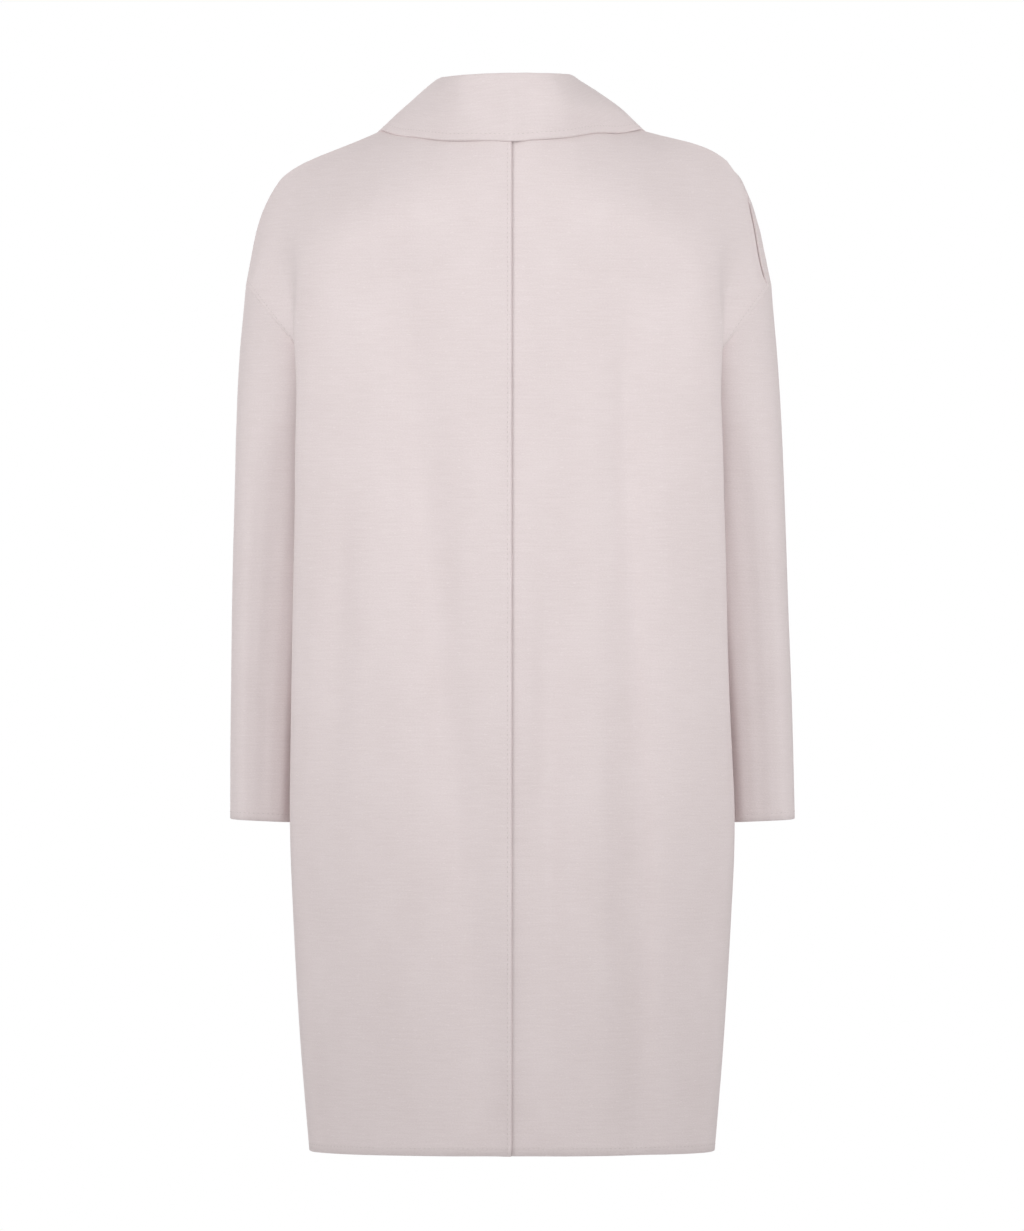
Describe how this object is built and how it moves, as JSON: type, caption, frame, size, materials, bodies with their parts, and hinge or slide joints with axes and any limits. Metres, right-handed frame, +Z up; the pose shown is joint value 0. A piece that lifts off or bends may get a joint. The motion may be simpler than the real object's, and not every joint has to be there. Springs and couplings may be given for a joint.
{
  "type": "double-breasted coat",
  "caption": "Knee-length double-breasted wool coat with dropped shoulders, a turned-down collar, wide lapels and a lapped centre-back seam, hollow as worn.",
  "frame": {"origin": "middle of the neck, level with the shoulders that carry the coat", "axes": "+Z up, the coat's front faces -Y, the wearer's left is +X"},
  "size_m": [0.541, 0.3031, 1.0258],
  "materials": {
    "wool": "matte double-faced wool with a short brushed nap",
    "button": "satin, dyed to match the cloth"
  },
  "bodies": {
    "root": {"back_left": "wool", "back_right": "wool", "front_left": "wool", "front_right": "wool", "sleeve_left": "wool", "sleeve_right": "wool", "collar": "wool", "lapel_left": "wool", "lapel_right": "wool", "button_right_1": "button", "button_right_2": "button", "button_left_1": "button", "button_left_2": "button"}
  },
  "joints": []
}
